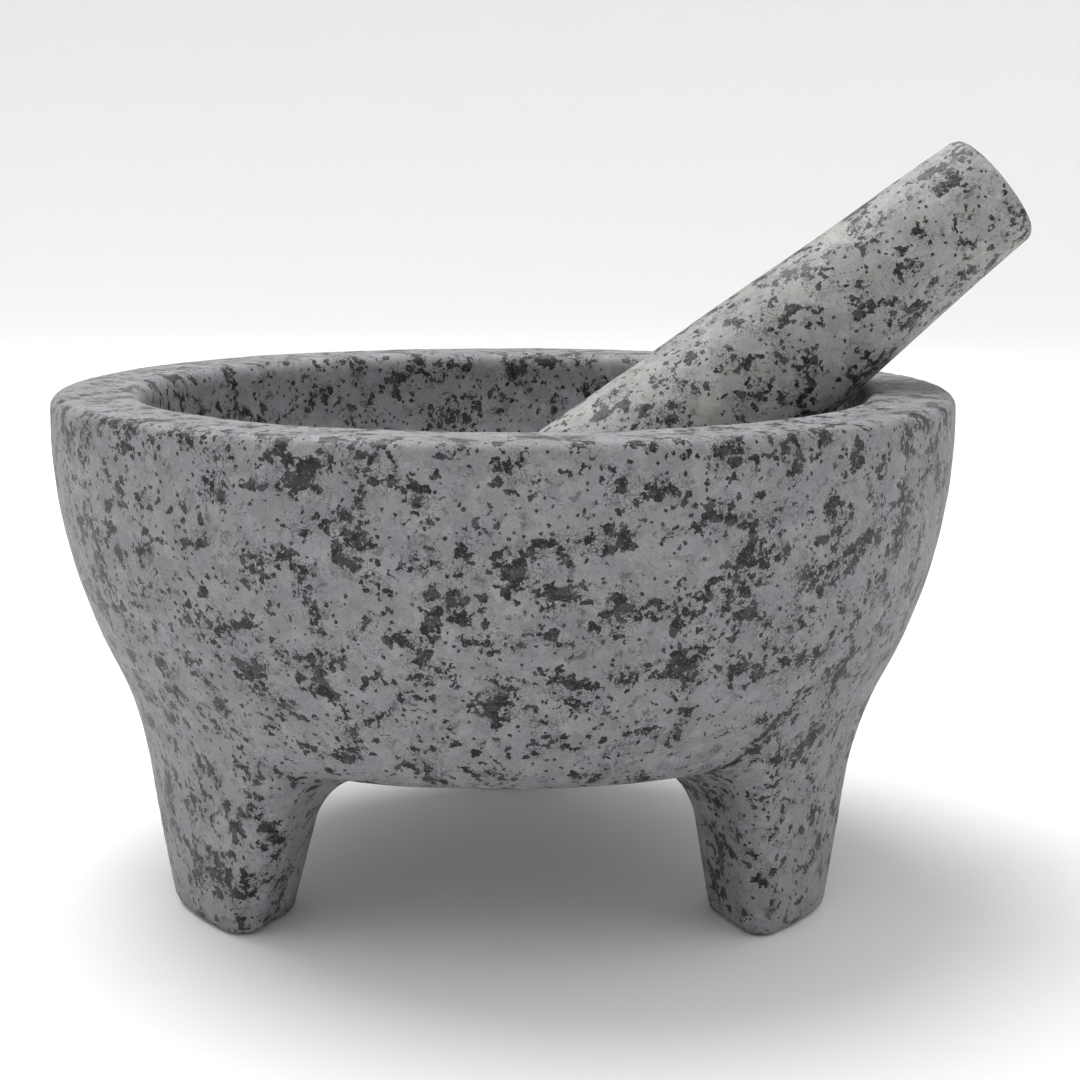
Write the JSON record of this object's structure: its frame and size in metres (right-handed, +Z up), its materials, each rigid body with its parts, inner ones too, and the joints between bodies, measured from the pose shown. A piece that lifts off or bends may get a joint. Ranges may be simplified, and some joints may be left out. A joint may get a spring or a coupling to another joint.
{
  "type": "molcajete",
  "caption": "Granite mortar on short legs cut from the same block, with a loose tapered stone pestle leaning over the rim, for grinding spices and salsa.",
  "frame": {"origin": "on the surface the feet stand on, under the middle of the part's box, pestle included", "axes": "+X the way the pestle leans, +Y to the back leg, +Z up"},
  "size_m": [0.2216, 0.203, 0.1673],
  "materials": {
    "mortar_stone": "honed speckled grey granite",
    "pestle_stone": "honed speckled grey granite"
  },
  "bodies": {
    "mortar": {"mortar": "mortar_stone"},
    "pestle": {"pestle": "pestle_stone"}
  },
  "joints": [
    {"name": "pestle_lift", "type": "slide", "parent": "mortar", "child": "pestle", "axis": [0, 0, 1], "range_m": [0, 0.08]}
  ]
}
